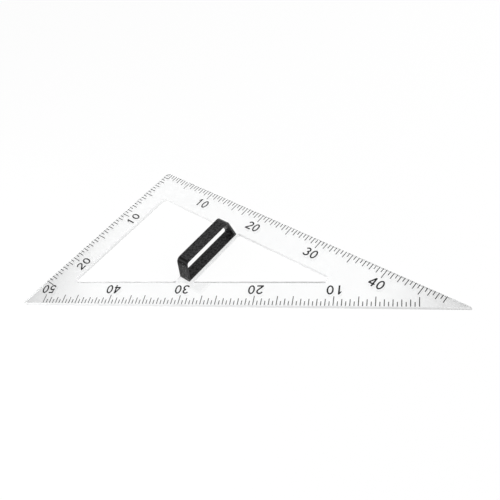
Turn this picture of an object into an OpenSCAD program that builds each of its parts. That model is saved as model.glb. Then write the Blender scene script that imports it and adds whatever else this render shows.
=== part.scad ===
// Board set square, 30-60-90 degrees: a clear plate with printed centimetre scales,
// a crossbar with magnets let into it, and a black loop handle screwed over them.
// Lengths are millimetres. The back face, which lies on the board, is at z = 0.

/* [Plate] */
// Length of the hypotenuse between its sharp corners
hypotenuse = 590; // [565:1:640]
// Thickness of the clear plate
plate_t = 5; // [4.6:0.1:8]
// Width of the bar along the hypotenuse
hypotenuse_bar = 37.6; // [34:0.2:45]
// Width of the bar along the long leg
long_bar = 44.4; // [36:0.1:52]
// Width of the bar along the short leg
short_bar = 36.2; // [34:0.1:45]
// Radius of the three outer corners
tip_r = 0.3; // [0.2:0.1:2]
// Radius of the corners of the two openings
opening_r = 5.3; // [2:0.1:7]

/* [Crossbar] */
// Distance from the short leg's edge to the middle of the crossbar
crossbar_at = 179.7; // [165:0.1:195]
// Width of crossbar left showing beside the handle
crossbar_margin = 1.7; // [0.1:0.1:3]
// Radius where the crossbar runs into the bars
crossbar_r = 3; // [1:0.5:5]

/* [Handle] */
// Width of the handle across the crossbar
handle_w = 17.6; // [14:0.1:22]
// Height of the handle above the plate
handle_h = 31; // [26:0.5:45]
// Gap between the long leg's bar and the handle
handle_far_gap = 2; // [1:0.1:8]
// Lap of the handle's near corner over the hypotenuse's bar
handle_near_lap = 1.4; // [-6:0.1:2]
// Thickness of the grip
grip_t = 2.8; // [2.5:0.1:5]
// Thickness of the legs
leg_t = 3.2; // [2.5:0.1:4.5]
// Thickness of the base strip
base_t = 1.5; // [1:0.1:3]
// Lean of the legs, in degrees from upright
leg_lean = 11.6; // [5:0.1:16]
// Radius of the bend between the near leg and the grip, outside
near_bend_r = 7.7; // [4.5:0.1:10]
// Radius of the bend between the far leg and the grip, outside
far_bend_r = 5; // [4.5:0.1:10]
// Radius of both bends, inside
bend_inside_r = 4; // [1:0.1:5]
// Radius of the base's two ends
base_r = 0.8; // [0.4:0.1:1.2]
// Radius of the crease between the base and a leg, inside
crease_r = 3; // [0.2:0.1:4]

/* [Screws] */
// Distance from the handle's end to its screw
screw_inset = 6; // [5.5:0.1:8]
// Diameter of the screw's shank
screw_d = 2.9; // [2.2:0.1:3.5]
// Diameter of the screw's countersunk head
screw_head_d = 5.6; // [4.5:0.1:6.5]
// Length of the screw, head included
screw_len = 10; // [8.5:0.5:11]
// Width of the cross recess in the head
recess_w = 0.8; // [0.5:0.1:1.2]
// Span of the cross recess
recess_span = 3; // [2:0.1:3.5]
// Depth of the cross recess
recess_depth = 1; // [0.5:0.1:1.4]
// Diameter of the boss that each screw bites into
boss_d = 7; // [6:0.1:9]
// Height of that boss above the plate
boss_h = 8; // [7:0.1:11]
// Depth of the head below the back face
head_sink = 0.2; // [0:0.1:0.5]
// Gap round the shank and under the head, in the plate
screw_clearance = 0.15; // [0.05:0.05:0.3]
// Gap between the shank and the bore of its boss
bite_clearance = 0.05; // [0.02:0.01:0.1]

/* [Magnets] */
// Diameter of a magnet disc
magnet_d = 10; // [8:0.5:12]
// Thickness of a magnet disc
magnet_t = 4; // [3:0.1:4.2]
// Gap between a disc and the wall of its pocket
magnet_clearance = 0.1; // [0.05:0.05:0.3]
// Thickness of the glue under a disc
magnet_glue = 0.1; // [0.05:0.05:0.2]
// Gap between a disc and the handle's base
magnet_headroom = 0.1; // [0.05:0.05:0.2]

/* [Printed scales] */
// Distance from one mark to the next
graduation = 5; // [5:0.5:6]
// Distance from the 30 degree corner to the hypotenuse scale's zero
hypotenuse_zero = 58; // [50:0.5:65]
// Least bare length past the last mark on the hypotenuse
hypotenuse_margin = 30; // [20:1:40]
// Least bare length past the last mark on the long leg
long_margin = 30; // [25:1:45]
// Least bare length past the last mark on the short leg
short_margin = 44.5; // [44:0.5:50]
// Bare strip between the plate's edge and the marks
mark_inset = 0.4; // [0.2:0.1:1]
// Line width of the marks
mark_w = 1.05; // [0.6:0.05:1.3]
// Length of the long marks
mark_long = 14; // [12:0.5:14.5]
// Length of the whole-centimetre marks
mark_medium = 10; // [8:0.5:11]
// Length of the half-centimetre marks
mark_short = 6.5; // [5:0.5:7.5]
// Height of the numerals
numeral_h = 14; // [10:0.5:14.5]
// Width of one digit
digit_w = 8.8; // [7:0.1:9.5]
// Space between two digits
digit_gap = 2.2; // [1.5:0.1:3]
// Line width of the numerals
stroke = 2.05; // [1.4:0.05:2.5]
// Space between the long marks and the numerals
numeral_gap = 2.8; // [2:0.1:4]
// Thickness of the printed ink
ink_t = 0.1; // [0.05:0.05:0.2]

/* [Hidden] */
$fn = 96;
short_angle = 30;
long_leg = hypotenuse * cos(short_angle);
short_leg = hypotenuse * sin(short_angle);
altitude = long_leg * sin(short_angle);

// The rounded corners trim the plate's box, so the box's middle is moved back to the origin
left_trim = tip_r * (1 / tan(short_angle) - 1);
right_trim = tip_r * (1 / tan(short_angle / 2) - 1);
top_trim = tip_r * (cos(short_angle) + sin(short_angle) - 1);
middle_x = (right_trim - left_trim) / 2;
middle_y = top_trim / 2;
sharp_corner = [hypotenuse / 2 + middle_x, middle_y - altitude / 2];
right_corner = [short_leg * sin(short_angle) - hypotenuse / 2 + middle_x, altitude / 2 + middle_y];

// Distances along the legs: u from the short leg's edge, v from the long leg's edge
inner_reach = altitude - hypotenuse_bar;
function v_at(u) = (inner_reach - u * sin(short_angle)) / cos(short_angle);
function u_at(v) = (inner_reach - v * cos(short_angle)) / sin(short_angle);

crossbar_w = handle_w + 2 * crossbar_margin;
crossbar_left = crossbar_at - crossbar_w / 2;
crossbar_right = crossbar_at + crossbar_w / 2;

handle_start = long_bar + handle_far_gap;
handle_end = v_at(crossbar_at + handle_w / 2) + handle_near_lap;
handle_len = handle_end - handle_start;
lean_in = handle_h * tan(leg_lean);
leg_run = leg_t / cos(leg_lean);

screw_spots = [handle_start + screw_inset, handle_end - screw_inset];
screw_hole_d = screw_d + 2 * screw_clearance;
countersink_d = screw_head_d + 2 * screw_clearance;
screw_head_h = (screw_head_d - screw_d) / 2;
boss_root = base_t / 2;
bore_d = screw_d + 2 * bite_clearance;
bore_depth = head_sink + screw_len - plate_t + screw_clearance;

magnet_count = 4;
magnet_pitch = (screw_spots[1] - screw_spots[0]) / (magnet_count + 1);
pocket_d = magnet_d + 2 * magnet_clearance;
pocket_depth = magnet_glue + magnet_t + magnet_headroom;

centimetre = 2 * graduation;
hypotenuse_last = floor((hypotenuse - hypotenuse_zero - hypotenuse_margin) / centimetre);
long_last = floor((long_leg - long_margin) / centimetre);
short_last = floor((short_leg - short_margin) / centimetre);

// Numerals end where they would come too near the next edge, or its marks
mark_reach = mark_inset + mark_long;
numeral_base = mark_reach + numeral_gap + numeral_h;
half_numeral = digit_w + digit_gap / 2;
function numeral_room(edge, corner, clear) =
    edge - half_numeral - (numeral_base * cos(corner) + clear) / sin(corner);
long_room = numeral_room(long_leg, short_angle, mark_reach + numeral_gap);
short_room = numeral_room(short_leg, 90 - short_angle, mark_reach + numeral_gap);
hypotenuse_room = numeral_room(hypotenuse, 90 - short_angle, numeral_gap) - hypotenuse_zero;

// Places on the plate: x along the long leg from the right-angle corner, y out of the long leg
module from_right_corner() {
    translate(right_corner) rotate(-short_angle) children();
}

// Edge frames: x along the edge, y straight out of the plate, z on the printed face
module on_long_leg() {
    translate([0, 0, plate_t]) from_right_corner() children();
}

module on_short_leg() {
    translate([0, 0, plate_t]) from_right_corner() rotate(90) children();
}

module on_hypotenuse() {
    translate([sharp_corner[0], sharp_corner[1], plate_t]) rotate(180) children();
}

// A polygon with each corner rounded to its own radius, in more steps where the radius is larger
function arc_steps(r) = ceil(4 * sqrt(r));
function unit(v) = v / norm(v);
function turned(p, angle) = [
    p[0] * cos(angle) - p[1] * sin(angle),
    p[0] * sin(angle) + p[1] * cos(angle)
];

function corner_arc(before, corner, after, r) =
    let (
        a = unit(before - corner),
        b = unit(after - corner),
        half = acos(a * b) / 2,
        centre = corner + unit(a + b) * r / sin(half),
        start = corner + a * r / tan(half) - centre,
        turn = sign(cross(b, a)) * (180 - 2 * half),
        steps = arc_steps(r)
    )
    [for (i = [0 : steps]) centre + turned(start, turn * i / steps)];

module rounded(points, radii) {
    n = len(points);
    polygon([
        for (i = [0 : n - 1])
            each corner_arc(points[(i + n - 1) % n], points[i], points[(i + 1) % n], radii[i])
    ]);
}

// Outline of the plate with its two openings, seen from the right-angle corner
module plate_outline() {
    difference() {
        rounded([[0, 0], [long_leg, 0], [0, -short_leg]], [tip_r, tip_r, tip_r]);
        rounded([
            [short_bar, -long_bar],
            [crossbar_left, -long_bar],
            [crossbar_left, -v_at(crossbar_left)],
            [short_bar, -v_at(short_bar)]
        ], [opening_r, crossbar_r, crossbar_r, opening_r]);
        rounded([
            [crossbar_right, -long_bar],
            [u_at(long_bar), -long_bar],
            [crossbar_right, -v_at(crossbar_right)]
        ], [crossbar_r, opening_r, crossbar_r]);
    }
}

// A point on the crossbar's middle line, v millimetres from the long leg's edge
module on_crossbar(v) {
    from_right_corner() translate([crossbar_at, -v, 0]) children();
}

// The hole follows the screw at its clearance, and runs out past both faces of the plate
module screw_hole() {
    rotate_extrude() polygon([
        [0, -screw_len], [countersink_d / 2, -screw_len], [countersink_d / 2, head_sink],
        [screw_hole_d / 2, head_sink + screw_head_h], [screw_hole_d / 2, 2 * plate_t], [0, 2 * plate_t]
    ]);
}

module acrylic_plate() {
    color([0.9, 0.95, 0.97, 0.35]) difference() {
        from_right_corner() linear_extrude(plate_t) plate_outline();
        for (i = [1 : magnet_count])
            on_crossbar(screw_spots[0] + i * magnet_pitch)
                translate([0, 0, plate_t - pocket_depth]) cylinder(d = pocket_d, h = 2 * pocket_depth);
        for (v = screw_spots) on_crossbar(v) screw_hole();
    }
}

// Side view of the handle's loop: x along the crossbar, y up from the plate
module handle_loop() {
    inside_low = leg_run + base_t * tan(leg_lean);
    inside_top = handle_h - grip_t;
    inside_high = leg_run + inside_top * tan(leg_lean);
    difference() {
        rounded([
            [0, 0], [handle_len, 0],
            [handle_len - lean_in, handle_h], [lean_in, handle_h]
        ], [base_r, base_r, near_bend_r, far_bend_r]);
        rounded([
            [inside_low, base_t], [handle_len - inside_low, base_t],
            [handle_len - inside_high, inside_top], [inside_high, inside_top]
        ], [crease_r, crease_r, bend_inside_r, bend_inside_r]);
    }
}

module carrying_handle() {
    color([0.13, 0.13, 0.14]) difference() {
        union() {
            translate([0, 0, plate_t]) on_crossbar(handle_start)
                translate([-handle_w / 2, 0, 0]) rotate([90, 0, 90])
                    mirror([1, 0, 0]) linear_extrude(handle_w) handle_loop();
            for (v = screw_spots) on_crossbar(v)
                translate([0, 0, plate_t + boss_root]) cylinder(d = boss_d, h = boss_h - boss_root);
        }
        for (v = screw_spots) on_crossbar(v)
            translate([0, 0, plate_t - bore_depth]) cylinder(d = bore_d, h = 2 * bore_depth);
    }
}

module handle_screw() {
    difference() {
        union() {
            cylinder(d1 = screw_head_d, d2 = screw_d, h = screw_head_h);
            cylinder(d = screw_d, h = screw_len);
        }
        for (turn = [0, 90]) rotate(turn)
            translate([-recess_span / 2, -recess_w / 2, -recess_depth])
                cube([recess_span, recess_w, 2 * recess_depth]);
    }
}

module handle_screws() {
    color([0.7, 0.71, 0.73]) for (v = screw_spots)
        on_crossbar(v) translate([0, 0, head_sink]) handle_screw();
}

module magnet(i) {
    color([0.78, 0.78, 0.8]) on_crossbar(screw_spots[0] + i * magnet_pitch)
        translate([0, 0, plate_t - pocket_depth + magnet_glue]) cylinder(d = magnet_d, h = magnet_t);
}

module ink() {
    color([0.06, 0.06, 0.07]) linear_extrude(ink_t) children();
}

// Marks are counted in half centimetres: long, whole-centimetre and half-centimetre ones
cm = 2;
five_cm = 5 * cm;
seven_cm = 7 * cm;
ten_cm = 10 * cm;
seventeen_cm = 17 * cm;
function mark_len(k) = k % five_cm == 0 ? mark_long : k % cm == 0 ? mark_medium : mark_short;

module mark(x, reach) {
    translate([x - mark_w / 2, -reach]) square([mark_w, reach - mark_inset]);
}

// The hypotenuse scale has one more long mark, at the seventh centimetre of each ten
module hypotenuse_marks() {
    on_hypotenuse() ink() for (k = [0 : cm * hypotenuse_last]) {
        length = k % ten_cm == seven_cm ? mark_long : mark_len(k);
        mark(hypotenuse_zero + k * graduation, mark_inset + length);
    }
}

// The long leg's scale has one more long mark, at 17 centimetres.
// Beside the right-angle corner the marks of the two legs stop where they meet.
module long_leg_marks() {
    on_long_leg() ink() for (k = [1 : cm * long_last]) {
        length = k == seventeen_cm ? mark_long : mark_len(k);
        mark(k * graduation, min(mark_inset + length, k * graduation + mark_w / 2));
    }
}

module short_leg_marks() {
    on_short_leg() ink() for (k = [1 : cm * short_last])
        mark(-k * graduation, min(mark_inset + mark_len(k), k * graduation - mark_w / 2));
}

// Digits stand on y = 0 in a cell that is digit_w wide and numeral_h high
function arc(middle, reach, from, to, steps) = [
    for (i = [0 : steps]) let (a = from + (to - from) * i / steps)
        middle + [reach[0] * cos(a), reach[1] * sin(a)]
];

function reversed(list) = [for (i = [len(list) - 1 : -1 : 0]) list[i]];

half_stroke = [stroke, stroke] / 2;

module zero_digit() {
    steps = 32;
    middle = [digit_w, numeral_h] / 2;
    last = 360 - 360 / steps;
    difference() {
        polygon(arc(middle, middle, 0, last, steps - 1));
        polygon(arc(middle, middle - 2 * half_stroke, 0, last, steps - 1));
    }
}

module one_digit() {
    stem = digit_w * 0.62;
    flag = [digit_w * 0.16, numeral_h * 0.76];
    crest = stroke * 0.7;
    armpit = stroke * 1.7;
    polygon([
        [stem - stroke, 0], [stem, 0], [stem, numeral_h], [stem - crest, numeral_h],
        flag, flag - [0, stroke], [stem - stroke, numeral_h - armpit]
    ]);
}

module two_digit() {
    crown = (digit_w - stroke) / 2;
    middle = [digit_w / 2, numeral_h - stroke / 2 - crown];
    outer = arc(middle, [crown, crown] + half_stroke, 165, -35, 14);
    inner = arc(middle, [crown, crown] - half_stroke, 165, -35, 14);
    heel = stroke * 0.9;
    crook = stroke * 1.55;
    foot = [[crook, stroke], [digit_w, stroke], [digit_w, 0], [0, 0], [0, heel]];
    polygon(concat(outer, foot, reversed(inner)));
}

module three_digit() {
    upper = [(digit_w - stroke) * 0.46, (numeral_h - stroke) * 0.24];
    lower = [(digit_w - stroke) * 0.5, (numeral_h - stroke) * 0.26];
    upper_at = [digit_w / 2, numeral_h - stroke / 2 - upper[1]];
    lower_at = [digit_w / 2, stroke / 2 + lower[1]];
    outer = concat(
        arc(upper_at, upper + half_stroke, 160, -50, 14),
        arc(lower_at, lower + half_stroke, 45, -160, 14)
    );
    inner = concat(
        arc(upper_at, upper - half_stroke, 160, -90, 14),
        arc(lower_at, lower - half_stroke, 90, -160, 14)
    );
    polygon(concat(outer, reversed(inner)));
}

module four_digit() {
    stem = digit_w * 0.62;
    foot = numeral_h * 0.22;
    low = [0, foot + stroke];
    slope = unit([stem, numeral_h] - low);
    under = low + stroke * [slope[1], -slope[0]];
    rise = slope[1] / slope[0];
    difference() {
        polygon([
            [stem, 0], [stem + stroke, 0], [stem + stroke, foot], [digit_w, foot],
            [digit_w, foot + stroke], [stem + stroke, foot + stroke], [stem + stroke, numeral_h],
            [stem, numeral_h], low, [0, foot], [stem, foot]
        ]);
        polygon([
            [under[0] + (low[1] - under[1]) / rise, low[1]], [stem, low[1]],
            [stem, under[1] + (stem - under[0]) * rise]
        ]);
    }
}

module five_digit() {
    bowl = [(digit_w - stroke) / 2, numeral_h * 0.33 - stroke / 2];
    middle = [digit_w / 2, stroke / 2 + bowl[1]];
    outer = arc(middle, bowl + half_stroke, 115, -160, 18);
    inner = arc(middle, bowl - half_stroke, 142, -160, 18);
    tip = [digit_w * 0.93, numeral_h];
    stem_top = stroke * 1.1;
    stem_foot = [stroke * 0.45, numeral_h * 0.45];
    polygon(concat(
        [tip, [stem_top, numeral_h], stem_foot], inner, reversed(outer),
        [[stem_top + 0.8 * stroke, numeral_h - stroke], tip - [0, stroke]]
    ));
}

module digit(value) {
    if (value == 0) zero_digit();
    if (value == 1) one_digit();
    if (value == 2) two_digit();
    if (value == 3) three_digit();
    if (value == 4) four_digit();
    if (value == 5) five_digit();
}

// Tens and units side by side, centred on their mark, with their tops towards the edge
module numeral(tens, x) {
    translate([x - half_numeral, -numeral_base]) digit(tens);
    translate([x + digit_gap / 2, -numeral_base]) digit(0);
}

module numeral_row(last, room, zero, direction) {
    ten = 10 * centimetre;
    ink() for (tens = [1 : floor(min(last * centimetre, room) / ten)])
        numeral(tens, direction * (zero + tens * ten));
}

module hypotenuse_numerals() {
    on_hypotenuse() numeral_row(hypotenuse_last, hypotenuse_room, hypotenuse_zero, 1);
}

module long_leg_numerals() {
    on_long_leg() numeral_row(long_last, long_room, 0, 1);
}

module short_leg_numerals() {
    on_short_leg() numeral_row(short_last, short_room, 0, -1);
}

acrylic_plate();
carrying_handle();
handle_screws();
magnet(1);  // magnet_1
magnet(2);  // magnet_2
magnet(3);  // magnet_3
magnet(4);  // magnet_4
hypotenuse_marks();
hypotenuse_numerals();
long_leg_marks();
long_leg_numerals();
short_leg_marks();
short_leg_numerals();
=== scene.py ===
"""Magnetic board set square: clear plate, printed scales, black loop handle, magnets and screws. Metres."""
import math

import bmesh
import bpy
from mathutils import Matrix, Quaternion, Vector


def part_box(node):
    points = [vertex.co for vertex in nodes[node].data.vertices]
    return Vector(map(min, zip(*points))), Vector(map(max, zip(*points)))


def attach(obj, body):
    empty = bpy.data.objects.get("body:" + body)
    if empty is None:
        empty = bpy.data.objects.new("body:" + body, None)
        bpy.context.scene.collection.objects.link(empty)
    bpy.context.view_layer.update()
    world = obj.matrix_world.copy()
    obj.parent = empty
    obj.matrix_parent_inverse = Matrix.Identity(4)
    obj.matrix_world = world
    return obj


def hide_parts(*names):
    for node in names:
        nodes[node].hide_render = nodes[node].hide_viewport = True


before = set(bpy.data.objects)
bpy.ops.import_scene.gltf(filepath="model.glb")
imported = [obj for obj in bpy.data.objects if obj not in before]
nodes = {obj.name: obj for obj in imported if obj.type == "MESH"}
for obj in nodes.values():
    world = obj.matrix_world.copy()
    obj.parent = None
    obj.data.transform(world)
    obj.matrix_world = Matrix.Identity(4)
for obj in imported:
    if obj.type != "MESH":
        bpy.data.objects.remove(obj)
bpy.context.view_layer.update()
MM = 0.001

# The long leg falls 30 degrees to the right; the handle and the crossbar stand square to it.
LONG_LEG_TURN = math.radians(-30)
LONG_LEG_WAY = math.cos(LONG_LEG_TURN), math.sin(LONG_LEG_TURN), 0.0

# Camera, fitted to the printed marks.
CAMERA_AT = Vector((0.2558, -0.5705, 0.6107))
CAMERA_AIM = Vector((0.0175, -0.0365, 0.005))
CAMERA_ROLL = math.radians(-18.68)
CAMERA_LENS = 45.25
CAMERA_SENSOR = 36


def add_object(name, data):
    made = bpy.data.objects.new(name, data)
    bpy.context.scene.collection.objects.link(made)
    return made


def point_along(thing, way):
    """Turns a camera or a lamp to look along a way."""
    thing.rotation_mode = "QUATERNION"
    thing.rotation_quaternion = way.to_track_quat("-Z", "Y")


def photo_camera():
    lens = bpy.data.cameras.new("photo_camera")
    lens.lens = CAMERA_LENS
    lens.sensor_width = CAMERA_SENSOR
    camera = add_object("photo_camera", lens)
    camera.location = CAMERA_AT
    point_along(camera, CAMERA_AIM - CAMERA_AT)
    camera.rotation_quaternion = camera.rotation_quaternion @ Quaternion((0, 0, 1), CAMERA_ROLL)
    bpy.context.scene.camera = camera


# Node helpers: a value that is a socket is wired, any other is set on the socket.
def give(tree, socket, value):
    if isinstance(value, bpy.types.NodeSocket):
        tree.links.new(value, socket)
    else:
        socket.default_value = value


def put(tree, kind, inputs=(), **settings):
    node = tree.nodes.new(kind)
    for key, value in settings.items():
        setattr(node, key, value)
    for key, value in dict(inputs).items():
        give(tree, node.inputs[key], value)
    return node


def sums(tree, operation, first, second=0.0, clamp=False):
    node = put(tree, "ShaderNodeMath", {0: first, 1: second}, operation=operation, use_clamp=clamp)
    return node.outputs[0]


def vector_sums(tree, operation, first, second):
    return put(tree, "ShaderNodeVectorMath", {0: first, 1: second}, operation=operation).outputs["Vector"]


def shared_way(tree, first, second):
    """How far two ways agree, or how far a place lies along a way."""
    node = put(tree, "ShaderNodeVectorMath", {0: first, 1: second}, operation="DOT_PRODUCT")
    return node.outputs["Value"]


def parts_of(tree, vector):
    return put(tree, "ShaderNodeSeparateXYZ", {"Vector": vector}).outputs


def ramp(tree, value, low, high, low_gives=0.0, high_gives=1.0):
    reading = {"Value": value, "From Min": low, "From Max": high, "To Min": low_gives, "To Max": high_gives}
    return put(tree, "ShaderNodeMapRange", reading, clamp=True).outputs["Result"]


def noise(tree, place, scale, detail):
    return put(tree, "ShaderNodeTexNoise", {"Vector": place, "Scale": scale, "Detail": detail}).outputs[0]


def blend_colours(tree, share, first, second):
    node = put(tree, "ShaderNodeMix", {0: share}, data_type="RGBA")
    for socket, colour in ((node.inputs[6], first), (node.inputs[7], second)):
        give(tree, socket, colour if isinstance(colour, bpy.types.NodeSocket) else (*colour, 1))
    return node.outputs[2]


def new_effect(name, takes, gives):
    """A shader node group; an input without a default is a place."""
    tree = bpy.data.node_groups.new(name, "ShaderNodeTree")
    for socket, default in takes.items():
        kind = "NodeSocketVector" if default is None else "NodeSocketFloat"
        made = tree.interface.new_socket(socket, in_out="INPUT", socket_type=kind)
        if default is not None:
            made.default_value = default
    for socket in gives:
        tree.interface.new_socket(socket, in_out="OUTPUT", socket_type="NodeSocketFloat")
    return tree, tree.nodes.new("NodeGroupInput").outputs, tree.nodes.new("NodeGroupOutput").inputs


def place_effect(tree, effect, **values):
    node = tree.nodes.new("ShaderNodeGroup")
    node.node_tree = effect
    for key, value in values.items():
        give(tree, node.inputs[key], value)
    return node.outputs


PIMPLE_HEIGHT = 0.6  # of the round pimples, beside the fine noise
CLOUD_RANGE = 0.3, 0.7  # noise values that give the least and the most tone


def moulded_grain():
    """Fine pimples of a mould or a coat, and slow clouds of tone over them."""
    tree, takes, gives = new_effect(
        "moulded_grain", {"Place": None, "Fineness": 3000.0, "Clouds": 40.0}, ["Height", "Tone"])
    fine = noise(tree, takes["Place"], takes["Fineness"], detail=3.0)
    cells = put(tree, "ShaderNodeTexVoronoi", {"Vector": takes["Place"], "Scale": takes["Fineness"]},
                feature="SMOOTH_F1")
    clouds = noise(tree, takes["Place"], takes["Clouds"], detail=4.0)
    pimples = sums(tree, "MULTIPLY", cells.outputs["Distance"], PIMPLE_HEIGHT)
    tree.links.new(sums(tree, "ADD", fine, pimples), gives["Height"])
    tree.links.new(ramp(tree, clouds, *CLOUD_RANGE), gives["Tone"])
    return tree


SCUFF_WAYS = (0.35, 0.0), (1.31, 3.7), (-0.72, 8.2), (2.36, 5.1)  # direction, and a shift of the pattern
HAIR_RANGE = 0.70, 0.78  # noise values between which a hairline starts
PATCH_FINENESS = 18.0
PATCH_RANGE = 0.42, 0.62  # noise values between which a patch of hairlines starts


def handling_scuffs():
    """Hairlines that a tool gets from being wiped, stacked and slid about, in patches."""
    tree, takes, gives = new_effect(
        "handling_scuffs", {"Place": None, "Fineness": 2200.0, "Length": 0.02}, ["Scuff"])
    along = sums(tree, "DIVIDE", 1.0, takes["Length"])
    stretch = put(tree, "ShaderNodeCombineXYZ", {"X": takes["Fineness"], "Y": along, "Z": along}).outputs[0]
    hairs = 0.0
    for turn, shift in SCUFF_WAYS:
        turned = put(tree, "ShaderNodeVectorRotate", {"Vector": takes["Place"], "Angle": turn},
                     rotation_type="Z_AXIS")
        drawn = vector_sums(tree, "MULTIPLY", turned.outputs[0], stretch)
        moved = vector_sums(tree, "ADD", drawn, (shift, shift, shift))
        hair = ramp(tree, noise(tree, moved, scale=1.0, detail=1.0), *HAIR_RANGE)
        hairs = sums(tree, "MAXIMUM", hair, hairs)
    patches = ramp(tree, noise(tree, takes["Place"], PATCH_FINENESS, detail=2.0), *PATCH_RANGE)
    tree.links.new(sums(tree, "MULTIPLY", hairs, patches), gives["Scuff"])
    return tree


EDGE_LEAN = 0.80, 0.99  # agreement of the rounded and the flat normal, on an edge and beyond its reach


def rubbed_edge():
    """How near a sharp edge a point is: 1 on the edge, 0 beyond the reach."""
    tree, takes, gives = new_effect("rubbed_edge", {"Reach": 0.8 * MM}, ["Edge"])
    rounded = put(tree, "ShaderNodeBevel", {"Radius": takes["Reach"]}, samples=6).outputs[0]
    flat = put(tree, "ShaderNodeNewGeometry").outputs["Normal"]
    tree.links.new(ramp(tree, shared_way(tree, rounded, flat), *EDGE_LEAN, 1.0, 0.0), gives["Edge"])
    return tree


GRAIN = moulded_grain()
SCUFFS = handling_scuffs()
EDGE = rubbed_edge()


def new_finish(name):
    """A material with its shader, and the place of a point on the object."""
    material = bpy.data.materials.new(name)
    material.use_nodes = True
    tree = material.node_tree
    shader = tree.nodes["Principled BSDF"]
    place = put(tree, "ShaderNodeTexCoord").outputs["Object"]
    return material, tree, shader, place


def roughen(tree, shader, height, strength, distance):
    bump = put(tree, "ShaderNodeBump", {"Height": height, "Strength": strength, "Distance": distance})
    tree.links.new(bump.outputs[0], shader.inputs["Normal"])


# In each finish, a pair of tints is for the least and the most tone of its grain, and a sheen is the range of
# its roughness.
ACRYLIC_IOR = 1.49
CLEAR_TINTS = (0.997, 1.0, 1.0), (0.985, 0.99, 0.991)
CLEAR_SHEEN = 0.015, 0.14  # between and on the hairlines


def clear_acrylic():
    """Cast clear sheet: polished faces with hairlines from wiping."""
    material, tree, shader, place = new_finish("clear_acrylic")
    shader.inputs["Transmission Weight"].default_value = 1.0
    shader.inputs["IOR"].default_value = ACRYLIC_IOR
    grain = place_effect(tree, GRAIN, Place=place, Fineness=900.0, Clouds=25.0)
    scuff = place_effect(tree, SCUFFS, Place=place, Fineness=2600.0, Length=0.03)["Scuff"]
    tree.links.new(blend_colours(tree, grain["Tone"], *CLEAR_TINTS), shader.inputs["Base Color"])
    tree.links.new(ramp(tree, scuff, 0.0, 1.0, *CLEAR_SHEEN), shader.inputs["Roughness"])
    roughen(tree, shader, sums(tree, "MULTIPLY", scuff, -1.0), strength=0.1, distance=0.01 * MM)
    return material


SAWN_TINTS = (0.93, 0.935, 0.935), (0.97, 0.972, 0.972)
SAWN_SHEEN = 0.38, 0.52
SAWN_CLEARNESS = 0.1
CHATTER = 1400.0, 1400.0, 120.0  # strokes of the cutter, per metre
CHATTER_RANGE = 0.3, 0.7
SAWN_GRAIN = 0.3  # height of the grain, beside the chatter


def sawn_acrylic(name, tones, foot_height):
    """Cut edges of the sheet: frosted, with the cutter's chatter, and with painted shade at the foot: a
    painted contact shadow, darker towards the ends along x.

    tones are (x, tone) pairs from left to right: the foot goes from each tone to the next along x."""
    material, tree, shader, place = new_finish(name)
    shader.inputs["Transmission Weight"].default_value = SAWN_CLEARNESS
    shader.inputs["IOR"].default_value = ACRYLIC_IOR
    grain = place_effect(tree, GRAIN, Place=place, Fineness=2200.0, Clouds=90.0)
    chatter = noise(tree, vector_sums(tree, "MULTIPLY", place, CHATTER), scale=1.0, detail=2.0)
    spot = parts_of(tree, place)
    # painted shade: the foot of each cut edge is darkened in place of its contact shadow and of the light
    # falling off along x
    low = ramp(tree, spot["Z"], 0.0, foot_height, 1.0, 0.0)
    grey = tones[0][1]
    for (start, tone), (stop, next_tone) in zip(tones, tones[1:]):
        grey = sums(tree, "ADD", ramp(tree, spot["X"], start, stop, 0.0, next_tone - tone), grey)
    foot = put(tree, "ShaderNodeCombineColor", {0: grey, 1: grey, 2: grey}).outputs[0]
    clean = blend_colours(tree, grain["Tone"], *SAWN_TINTS)
    tint = blend_colours(tree, sums(tree, "MULTIPLY", low, low), clean, foot)
    tree.links.new(tint, shader.inputs["Base Color"])
    tree.links.new(ramp(tree, chatter, *CHATTER_RANGE, *SAWN_SHEEN), shader.inputs["Roughness"])
    relief = sums(tree, "ADD", chatter, sums(tree, "MULTIPLY", grain["Height"], SAWN_GRAIN))
    roughen(tree, shader, relief, strength=0.3, distance=0.03 * MM)
    return material


# What the handle's mesh keeps for its finish, at each corner
SIDE_HIGHLIGHT = "side_highlight"  # 1 on the narrow sides of the handle's legs, less on its grip's, 0 on its broad faces: where the painted highlight goes
INSIDE = "inside"  # 1 on the faces inside the handle's loop
NEAR_SHADE = "near_shade"  # 1 on the handle's near leg and near bend, which take a painted shade
GLOSSY = "glossy"  # 1 outside its far leg and far bend, which keep the gloss of the mould

BEND_SHADE_FROM, BEND_SHADE_TO = 25.5 * MM, 28 * MM  # heights between which the painted shade on the near leg deepens into the bend's
LEG_SHADE = 0.55  # how far the leg below them is painted darker
BLACK, SPECK = (0.0005, 0.0005, 0.0008), (0.045, 0.045, 0.046)
SPECK_RANGE = 0.2, 0.8
SPECK_SHARE = 0.1, 0.9
# painted highlight: the narrow sides are painted paler, in place of the light they reflect
HIGHLIGHT_TINT, HIGHLIGHT_SHARE = (0.068, 0.068, 0.07), 0.6
SCUFFED_TINT, SCUFFED_SHARE = (0.09, 0.09, 0.092), 0.35
HANDLE_SHEEN = 0.12, 0.17
SPECK_DULL, INSIDE_DULL, SCUFF_DULL = 0.08, 0.24, 0.1  # added to the roughness
GLOSS = 0.6


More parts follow.
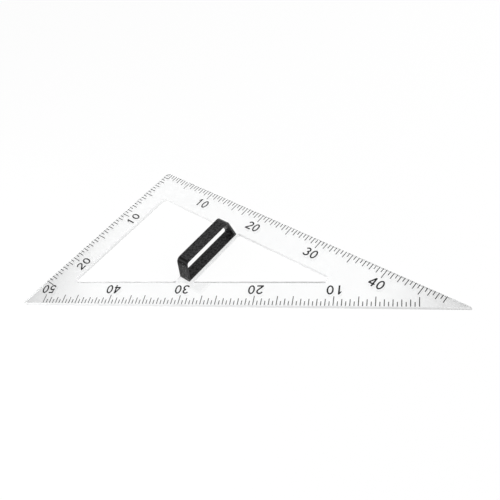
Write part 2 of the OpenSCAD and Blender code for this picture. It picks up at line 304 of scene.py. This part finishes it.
def black_moulding():
    """Black moulded handle: mould grain, specks, hairlines; narrow sides painted paler as a highlight, near
    leg and bend painted darker as shade.
    """
    material, tree, shader, place = new_finish("black_moulding")
    shader.inputs["Specular IOR Level"].default_value = 0.12
    shader.inputs["Coat Roughness"].default_value = 0.12
    grain = place_effect(tree, GRAIN, Place=place, Fineness=2600.0, Clouds=60.0)
    specks = place_effect(tree, GRAIN, Place=place, Fineness=2600.0, Clouds=330.0)["Tone"]
    specks = ramp(tree, specks, *SPECK_RANGE, *SPECK_SHARE)
    scuff = place_effect(tree, SCUFFS, Place=place, Fineness=1800.0, Length=0.012)["Scuff"]
    side_highlight, inside, near_shade, glossy = (
        put(tree, "ShaderNodeAttribute", attribute_name=name).outputs["Fac"]
        for name in (SIDE_HIGHLIGHT, INSIDE, NEAR_SHADE, GLOSSY))
    height = parts_of(tree, place)["Z"]
    # painted shade: the near leg and bend lose the pale specks and render darker, in place of dark
    # reflections
    bend_shade = sums(tree, "MULTIPLY", near_shade, ramp(tree, height, BEND_SHADE_FROM, BEND_SHADE_TO, LEG_SHADE, 1.0))
    grained = sums(tree, "MULTIPLY", specks, sums(tree, "SUBTRACT", 1.0, bend_shade))
    body = blend_colours(tree, grained, BLACK, SPECK)
    # painted highlight on the narrow sides
    highlighted = blend_colours(tree, sums(tree, "MULTIPLY", side_highlight, HIGHLIGHT_SHARE), body, HIGHLIGHT_TINT)
    scratched = blend_colours(tree, sums(tree, "MULTIPLY", scuff, SCUFFED_SHARE), highlighted, SCUFFED_TINT)
    tree.links.new(scratched, shader.inputs["Base Color"])
    sheen = ramp(tree, grain["Tone"], 0.0, 1.0, *HANDLE_SHEEN)
    for mask, dull in ((specks, SPECK_DULL), (inside, INSIDE_DULL), (scuff, SCUFF_DULL)):
        sheen = sums(tree, "ADD", sheen, sums(tree, "MULTIPLY", mask, dull))
    tree.links.new(sheen, shader.inputs["Roughness"])
    tree.links.new(sums(tree, "MULTIPLY", glossy, GLOSS), shader.inputs["Coat Weight"])
    relief = sums(tree, "SUBTRACT", grain["Height"], scuff)
    roughen(tree, shader, relief, strength=0.15, distance=0.04 * MM)
    return material


INK_TINTS = (0.008, 0.008, 0.009), (0.018, 0.018, 0.019)
INK_SHEEN = 0.5, 0.62


def printed_ink():
    """Screen-printed black ink: a matt film, slightly uneven in density."""
    material, tree, shader, place = new_finish("printed_ink")
    grain = place_effect(tree, GRAIN, Place=place, Fineness=3500.0, Clouds=160.0)
    shader.inputs["Specular IOR Level"].default_value = 0.1
    tree.links.new(blend_colours(tree, grain["Tone"], *INK_TINTS), shader.inputs["Base Color"])
    tree.links.new(ramp(tree, grain["Tone"], 0.0, 1.0, *INK_SHEEN), shader.inputs["Roughness"])
    roughen(tree, shader, grain["Height"], strength=0.2, distance=0.02 * MM)
    return material


NICKEL_TINTS = (0.62, 0.59, 0.54), (0.72, 0.69, 0.64)
NICKEL_SHEEN = 0.18, 0.30
NICKEL_SCUFF_DULL = 0.2


def nickel_plating():
    """Bright plated magnet: slight orange peel and hairlines."""
    material, tree, shader, place = new_finish("nickel_plating")
    shader.inputs["Metallic"].default_value = 1.0
    grain = place_effect(tree, GRAIN, Place=place, Fineness=1500.0, Clouds=220.0)
    scuff = place_effect(tree, SCUFFS, Place=place, Fineness=3000.0, Length=0.006)["Scuff"]
    tree.links.new(blend_colours(tree, grain["Tone"], *NICKEL_TINTS), shader.inputs["Base Color"])
    haze = ramp(tree, grain["Tone"], 0.0, 1.0, *NICKEL_SHEEN)
    haze = sums(tree, "ADD", haze, sums(tree, "MULTIPLY", scuff, NICKEL_SCUFF_DULL))
    tree.links.new(haze, shader.inputs["Roughness"])
    relief = sums(tree, "SUBTRACT", grain["Height"], scuff)
    roughen(tree, shader, relief, strength=0.2, distance=0.03 * MM)
    return material


ZINC_TINTS = (0.48, 0.50, 0.53), (0.58, 0.57, 0.52)
ZINC_SHEEN = 0.30, 0.45
BRIGHT_ZINC, BRIGHT_SHARE = (0.78, 0.78, 0.77), 0.6


def zinc_plating():
    """Zinc-plated screw: greyish, faintly blue and yellow, brighter at the edges, where wear has thinned the
    plating.
    """
    material, tree, shader, place = new_finish("zinc_plating")
    shader.inputs["Metallic"].default_value = 1.0
    grain = place_effect(tree, GRAIN, Place=place, Fineness=4000.0, Clouds=300.0)
    edge = place_effect(tree, EDGE, Reach=0.2 * MM)["Edge"]
    body = blend_colours(tree, grain["Tone"], *ZINC_TINTS)
    bright = blend_colours(tree, sums(tree, "MULTIPLY", edge, BRIGHT_SHARE), body, BRIGHT_ZINC)
    tree.links.new(bright, shader.inputs["Base Color"])
    tree.links.new(ramp(tree, grain["Tone"], 0.0, 1.0, *ZINC_SHEEN), shader.inputs["Roughness"])
    roughen(tree, shader, grain["Height"], strength=0.25, distance=0.02 * MM)
    return material


def dress(node, *finishes):
    mesh = nodes[node].data
    mesh.materials.clear()
    for finish in finishes:
        mesh.materials.append(finish)


SAWN_SLOT, GREYED_SLOT, SIDE_SLOT = 1, 2, 3  # of the plate's finishes; 0 is clear
FLAT = 0.98  # a face that lies flatter than this is one of the sheet's two polished sides
TO_CORNER = 2.0  # a face looks to the right angle where it looks back over this much more than aside
SQUARE_ON = 0.99  # above this, a face looks along the long leg, and below minus this, back along it
INSIDE_FROM = -100 * MM  # along the long leg, the short leg's outside lies before this


def finish_cut_faces(piece):
    """Gives the plate's cut faces their slots.

    Those that look to the right angle are greyed, and those that look along the long leg have a finish of
    their own. The crossbar's left side is polished, as the sheet's faces are."""
    recipe = bpy.data.node_groups.new("cut_faces", "GeometryNodeTree")
    recipe.interface.new_socket("Geometry", in_out="INPUT", socket_type="NodeSocketGeometry")
    recipe.interface.new_socket("Geometry", in_out="OUTPUT", socket_type="NodeSocketGeometry")
    taken = recipe.nodes.new("NodeGroupInput").outputs[0]
    given = recipe.nodes.new("NodeGroupOutput").inputs[0]
    normal = put(recipe, "GeometryNodeInputNormal").outputs[0]
    spot = put(recipe, "GeometryNodeInputPosition").outputs[0]
    facing = parts_of(recipe, normal)
    cut = sums(recipe, "LESS_THAN", sums(recipe, "ABSOLUTE", facing["Z"]), FLAT)
    aside = sums(recipe, "MULTIPLY", sums(recipe, "ABSOLUTE", facing["X"]), TO_CORNER)
    to_corner = sums(recipe, "GREATER_THAN", facing["Y"], aside)
    look = shared_way(recipe, normal, LONG_LEG_WAY)
    ahead = sums(recipe, "GREATER_THAN", look, SQUARE_ON)
    back = sums(recipe, "LESS_THAN", look, -SQUARE_ON)
    slot = SAWN_SLOT
    # the greyed slot takes the darkest painted shade at the foot, on the edges that look to the right angle
    for kind, other_slot in ((to_corner, GREYED_SLOT), (ahead, SIDE_SLOT)):
        slot = sums(recipe, "ADD", sums(recipe, "MULTIPLY", kind, other_slot - SAWN_SLOT), slot)
    inside = sums(recipe, "GREATER_THAN", shared_way(recipe, spot, LONG_LEG_WAY), INSIDE_FROM)
    sawn = sums(recipe, "SUBTRACT", cut, sums(recipe, "MULTIPLY", back, inside), clamp=True)
    marked = put(recipe, "GeometryNodeSetMaterialIndex",
                 {"Geometry": taken, "Selection": sawn, "Material Index": slot})
    recipe.links.new(marked.outputs[0], given)
    piece.modifiers.new("cut_faces", "NODES").node_group = recipe


def even_shading(piece):
    smooth = piece.modifiers.new("even_shading", "WEIGHTED_NORMAL")
    smooth.keep_sharp = True


SEAM = 0.001 * MM
SHARP_FROM = math.radians(55)


def break_edges(piece, width, steps):
    """Breaks the sharp edges of the cut plate."""
    weld = piece.modifiers.new("closed_seams", "WELD")
    weld.merge_threshold = SEAM
    bevel = piece.modifiers.new("broken_edges", "BEVEL")
    bevel.width = width
    bevel.segments = steps
    bevel.limit_method = "ANGLE"
    bevel.angle_limit = SHARP_FROM
    bevel.use_clamp_overlap = False


# The handle's loop, in millimetres as in the part's source.
LEG_LEAN = math.radians(11.6)
GRIP_T, LEG_T, BASE_T = 2.8, 3.2, 1.5
NEAR_BEND_R, FAR_BEND_R, BEND_INSIDE_R, BASE_R, CREASE_R = 7.7, 5.0, 4.0, 0.8, 3.0
SCREW_INSET, BOSS_D, BOSS_H, BORE_D, BORE_DEPTH = 6.0, 7.0, 8.0, 3.0, 5.35
# How the mould rounds the edges of the loop and its bosses
GRIP_EDGE_R, BASE_EDGE_R, INSIDE_EDGE_R, BOSS_RIM_R = 0.7, 0.3, 0.6, 0.6
GRIP_HIGHLIGHT = 0.2  # how much painted highlight the grip and the base take, where the legs take 1
BEND_START = 8.0  # a bend takes the leg's finish over the first of this many parts of its arc
BEND_STEPS, BASE_STEPS, EDGE_STEPS = 16, 6, 5
ROUND_STEPS = 40


def corner_arc(before, corner, after, radius, steps):
    """Points of a corner rounded to a radius."""
    back, on = (before - corner).normalized(), (after - corner).normalized()
    half = back.angle(on) / 2
    middle = corner + (back + on).normalized() * radius / math.sin(half)
    start = corner + back * radius / math.tan(half) - middle
    turn = math.copysign(math.pi - 2 * half, back.cross(on)) * -1
    return [middle + Matrix.Rotation(turn * i / steps, 2) @ start for i in range(steps + 1)]


def rounded_loop(corners, radii, steps):
    points = [Vector(corner) for corner in corners]
    loop = []
    for i, corner in enumerate(points):
        loop += corner_arc(points[i - 1], corner, points[(i + 1) % len(points)], radii[i], steps[i])
    return loop


def loop_section(outer, inner, width, outer_r, inner_r):
    """One cut through the loop, a rounded rectangle.

    Gives each point, how far it faces sideways, and 1 if it is inside the loop."""
    through = inner - outer
    depth = through.length
    through.normalize()
    half = width / 2
    # Side, outside or inside of the loop, radius, and the angle at which the corner's arc starts
    corners = (-1, 0, outer_r, 180), (1, 0, outer_r, 270), (1, 1, inner_r, 0), (-1, 1, inner_r, 90)
    ring = []
    for side, end, radius, first in corners:
        across_at = side * (half - radius)
        down_at = depth - radius if end else radius
        for i in range(EDGE_STEPS + 1):
            turn = math.radians(first + 90 * i / EDGE_STEPS)
            across = across_at + radius * math.cos(turn)
            point = outer + through * (down_at + radius * math.sin(turn))
            ring.append(((across, point.x, point.y), abs(math.cos(turn)), end))
    return ring


def handle_measures():
    """Middle of the handle's foot, its length, width and height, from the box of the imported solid."""
    low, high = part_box("carrying_handle")
    low, high = Vector(low) / MM, Vector(high) / MM
    size = high - low
    fast, slow = abs(LONG_LEG_WAY[0]), abs(LONG_LEG_WAY[1])
    share = fast * fast - slow * slow
    length = (fast * size.y - slow * size.x) / share
    width = (fast * size.x - slow * size.y) / share
    foot = (low + high) / 2
    foot.z = low.z
    return foot, length, width, size.z


def handle_blank(length, width, height):
    """The loop without its bosses: x across, y from the far end to the near end, z up."""
    slope = math.tan(LEG_LEAN)
    leg_run = LEG_T / math.cos(LEG_LEAN)
    inside_top = height - GRIP_T
    lean, low_in, high_in = height * slope, leg_run + BASE_T * slope, leg_run + inside_top * slope
    steps = (BASE_STEPS, BASE_STEPS, BEND_STEPS, BEND_STEPS)
    outer = rounded_loop(
        [(0, 0), (length, 0), (length - lean, height), (lean, height)],
        (BASE_R, BASE_R, NEAR_BEND_R, FAR_BEND_R), steps)
    inner = rounded_loop(
        [(low_in, BASE_T), (length - low_in, BASE_T), (length - high_in, inside_top), (high_in, inside_top)],
        (CREASE_R, CREASE_R, BEND_INSIDE_R, BEND_INSIDE_R), steps)
    shape = bmesh.new()
    side_highlight, inside, near_shade, glossy = (
        shape.verts.layers.float.new(name) for name in (SIDE_HIGHLIGHT, INSIDE, NEAR_SHADE, GLOSSY))
    # The base's lower edges are nearly sharp; they soften round its two ends. The legs' narrow sides take the
    # most painted highlight.
    base_corner = [i / BASE_STEPS for i in range(BASE_STEPS + 1)]
    bend = [i / BEND_STEPS for i in range(BEND_STEPS + 1)]
    softness = base_corner[::-1] + base_corner + [1.0] * (2 * BEND_STEPS + 2)
    on_leg = base_corner[::-1] + base_corner + bend[::-1] + bend
    near = [0] * len(base_corner) + [1] * (len(base_corner) + len(bend)) + [0] * len(bend)
    rings = []
    for out, into, soft, leg, at_near in zip(outer, inner, softness, on_leg, near):
        outer_r = BASE_EDGE_R + (GRIP_EDGE_R - BASE_EDGE_R) * soft
        off_grip = min(1.0, BEND_START * leg)
        ring = []
        for point, sideways, end in loop_section(out, into, width, outer_r, INSIDE_EDGE_R):
            vertex = shape.verts.new(point)
            vertex[side_highlight] = sideways * (GRIP_HIGHLIGHT + (1 - GRIP_HIGHLIGHT) * leg)
            vertex[inside] = end
            vertex[near_shade] = at_near * off_grip
            vertex[glossy] = (1 - at_near) * soft * (1 - end) * off_grip
            ring.append(vertex)
        rings.append(ring)
    for i, ring in enumerate(rings):
        following = rings[(i + 1) % len(rings)]
        for j in range(len(ring)):
            k = (j + 1) % len(ring)
            shape.faces.new((ring[j], ring[k], following[k], following[j]))
    bmesh.ops.recalc_face_normals(shape, faces=shape.faces)
    return shape


def turned_shape(outline, at):
    """A round solid from (radius, height) points that start and end on its axis."""
    shape = bmesh.new()
    low = shape.verts.new((at[0], at[1], outline[0][1]))
    top = shape.verts.new((at[0], at[1], outline[-1][1]))
    turns = [2 * math.pi * i / ROUND_STEPS for i in range(ROUND_STEPS)]
    rings = []
    for radius, height in outline[1:-1]:
        rings.append([shape.verts.new((at[0] + radius * math.cos(t), at[1] + radius * math.sin(t), height))
                      for t in turns])
    for i in range(ROUND_STEPS):
        k = (i + 1) % ROUND_STEPS
        shape.faces.new((low, rings[0][k], rings[0][i]))
        shape.faces.new((top, rings[-1][i], rings[-1][k]))
        for first, second in zip(rings, rings[1:]):
            shape.faces.new((first[i], first[k], second[k], second[i]))
    return shape


def as_object(shape, name):
    mesh = bpy.data.meshes.new(name)
    shape.to_mesh(mesh)
    shape.free()
    return add_object(name, mesh)


def cut_or_join(blank, tools):
    """Joins or cuts a blank with each tool in turn, then drops the tools."""
    for tool, operation in tools:
        step = blank.modifiers.new(operation, "BOOLEAN")
        step.object = tool
        step.operation = operation
        step.solver = "EXACT"
    made = blank.evaluated_get(bpy.context.evaluated_depsgraph_get())
    mesh = bpy.data.meshes.new_from_object(made)
    blank.modifiers.clear()
    blank.data = mesh
    for tool, operation in tools:
        bpy.data.objects.remove(tool)


def screw_boss():
    """Outline of a boss, from inside the base up to its rounded rim."""
    radius, rim_at = BOSS_D / 2, BOSS_H - BOSS_RIM_R
    outline = [(0, BASE_T / 2), (radius, BASE_T / 2), (radius, rim_at)]
    for i in range(1, EDGE_STEPS + 1):
        turn = math.radians(90 * i / EDGE_STEPS)
        across = radius - BOSS_RIM_R + BOSS_RIM_R * math.cos(turn)
        outline.append((across, rim_at + BOSS_RIM_R * math.sin(turn)))
    return outline + [(0, BOSS_H)]


def moulded_handle():
    """The black handle: a rounded loop with two screw bosses inside it, standing on the crossbar."""
    foot, length, width, height = handle_measures()
    handle = as_object(handle_blank(length, width, height), "moulded_handle")
    bore = [(0, -BORE_DEPTH), (BORE_D / 2, -BORE_DEPTH), (BORE_D / 2, BORE_DEPTH), (0, BORE_DEPTH)]
    tools = []
    for outline, name, operation in ((screw_boss(), "boss", "UNION"), (bore, "bore", "DIFFERENCE")):
        for spot in (SCREW_INSET, length - SCREW_INSET):
            tools.append((as_object(turned_shape(outline, (0, spot)), name), operation))
    cut_or_join(handle, tools)
    placed = Matrix.Translation(foot) @ Matrix.Rotation(LONG_LEG_TURN, 4, "Z")
    placed = placed @ Matrix.Scale(-1, 4, (0, 1, 0)) @ Matrix.Translation((0, -length / 2, 0))
    handle.data.transform(Matrix.Scale(MM, 4) @ placed)
    handle.data.flip_normals()
    for face in handle.data.polygons:
        face.use_smooth = True
    even_shading(handle)
    handle.data.materials.append(black_moulding())
    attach(handle, "root")
    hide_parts("carrying_handle")


# The floor and the room round it.
FLOOR_DROP = 0.4 * MM
FLOOR_REACH = 6.0
FLOOR_TINT = 0.97, 0.97, 0.97, 1
FLOOR_SHADOW = 0.10  # share of the floor's own shading that shows
FLOOR_DIM = 0.078  # painted shade: how much darker the floor is through the plate
FALL_FROM, FALL_TO, FALL_DEPTH = 0.16, 0.295, 0.40  # painted shade, deeper towards the ends of the hypotenuse
ROOM_LIGHT = 0.34  # light from all round
WHITE = 1, 1, 1, 1


def shown_directly(tree):
    """1 where a ray comes from the camera, a reflection or through the plate, 0 where it lights a surface."""
    path = put(tree, "ShaderNodeLightPath").outputs
    seen = sums(tree, "MAXIMUM", path["Is Camera Ray"], path["Is Glossy Ray"])
    seen = sums(tree, "MAXIMUM", seen, path["Is Transmission Ray"])
    return sums(tree, "SUBTRACT", seen, path["Diffuse Depth"], clamp=True)


def pale_floor():
    """White to the eye, with a little of its own shading; seen through the plate it has a painted shade,
    deepest at the ends.
    """
    material = bpy.data.materials.new("pale_floor")
    material.use_nodes = True
    tree = material.node_tree
    tree.nodes.clear()
    plain = put(tree, "ShaderNodeBsdfDiffuse", {"Color": FLOOR_TINT}).outputs[0]
    spot = parts_of(tree, put(tree, "ShaderNodeNewGeometry").outputs["Position"])
    # painted shade on the floor seen through the plate, deepest towards the ends of the hypotenuse
    off = ramp(tree, sums(tree, "ABSOLUTE", spot["X"]), FALL_FROM, FALL_TO)
    fall = sums(tree, "MULTIPLY", sums(tree, "POWER", off, 2.0), FALL_DEPTH)
    through_plate = put(tree, "ShaderNodeLightPath").outputs["Is Transmission Ray"]
    dim = sums(tree, "MULTIPLY", sums(tree, "ADD", fall, FLOOR_DIM), through_plate)
    strength = sums(tree, "SUBTRACT", 1.0, dim)
    white = put(tree, "ShaderNodeEmission", {"Color": WHITE, "Strength": strength}).outputs[0]
    share = sums(tree, "MULTIPLY", shown_directly(tree), 1.0 - FLOOR_SHADOW)
    mixed = put(tree, "ShaderNodeMixShader", {0: share, 1: plain, 2: white}).outputs[0]
    put(tree, "ShaderNodeOutputMaterial", {"Surface": mixed})
    return material


def studio_floor():
    mesh = bpy.data.meshes.new("floor")
    sides = (-1, -1), (1, -1), (1, 1), (-1, 1)
    mesh.from_pydata([(x * FLOOR_REACH, y * FLOOR_REACH, -FLOOR_DROP) for x, y in sides], [], [(0, 1, 2, 3)])
    mesh.materials.append(pale_floor())
    floor = add_object("floor", mesh)


def studio_room():
    world = bpy.data.worlds.new("pale_room")
    world.use_nodes = True
    bpy.context.scene.world = world
    tree = world.node_tree
    back = tree.nodes["Background"]
    back.inputs["Color"].default_value = WHITE
    tree.links.new(ramp(tree, shown_directly(tree), 0.0, 1.0, ROOM_LIGHT, 1.0), back.inputs["Strength"])


def soft_lamp(name, at, aim, size, power):
    light = bpy.data.lights.new(name, "AREA")
    light.size = size
    light.energy = power
    lamp = add_object(name, light)
    lamp.location = at
    point_along(lamp, Vector(aim) - Vector(at))


def soft_sun(name, comes_from, spread, strength):
    light = bpy.data.lights.new(name, "SUN")
    light.angle = math.radians(spread)
    light.energy = strength
    lamp = add_object(name, light)
    point_along(lamp, -Vector(comes_from))


photo_camera()
studio_floor()
studio_room()
soft_lamp("front_lamp", at=(-0.45, -0.6, 0.35), aim=(-0.15, -0.1, 0), size=0.4, power=1.3)
soft_lamp("bend_lamp", at=(-0.73, -0.23, 0.43), aim=(-0.05, -0.08, 0.03), size=0.3, power=1.0)
soft_lamp("fill_lamp", at=(1.6, 0.15, 1.3), aim=(0, 0, 0), size=1.5, power=17)
soft_sun("even_light", comes_from=(0.05, 0.05, 1.0), spread=50, strength=1.05)

# Painted shade at the foot of each cut edge: places along x, and its tone there
SAWN_TONES = (-0.25, 0.8), (-0.11, 0.92), (0.14, 0.93), (0.27, 0.58)
GREYED_TONES = (-0.1, 0.24), (0.1, 0.02)
SIDE_TONES = (-0.25, 0.42), (-0.11, 0.86), (-0.06, 0.97)

plate = nodes["acrylic_plate"]
dress("acrylic_plate", clear_acrylic(),
      sawn_acrylic("sawn_acrylic", SAWN_TONES, foot_height=4 * MM),
      sawn_acrylic("greyed_edge", GREYED_TONES, foot_height=2.8 * MM),
      sawn_acrylic("sawn_side", SIDE_TONES, foot_height=4 * MM))
break_edges(plate, width=0.2 * MM, steps=2)
finish_cut_faces(plate)
even_shading(plate)
plate.visible_shadow = False  # the clear sheet lets the lamps through
moulded_handle()
dress("handle_screws", zinc_plating())
nickel = nickel_plating()
for number in range(1, 5):
    dress(f"magnet_{number}", nickel)
ink = printed_ink()
for edge in ("hypotenuse", "long_leg", "short_leg"):
    dress(f"{edge}_marks", ink)
    dress(f"{edge}_numerals", ink)

bpy.context.scene.view_settings.view_transform = "Standard"
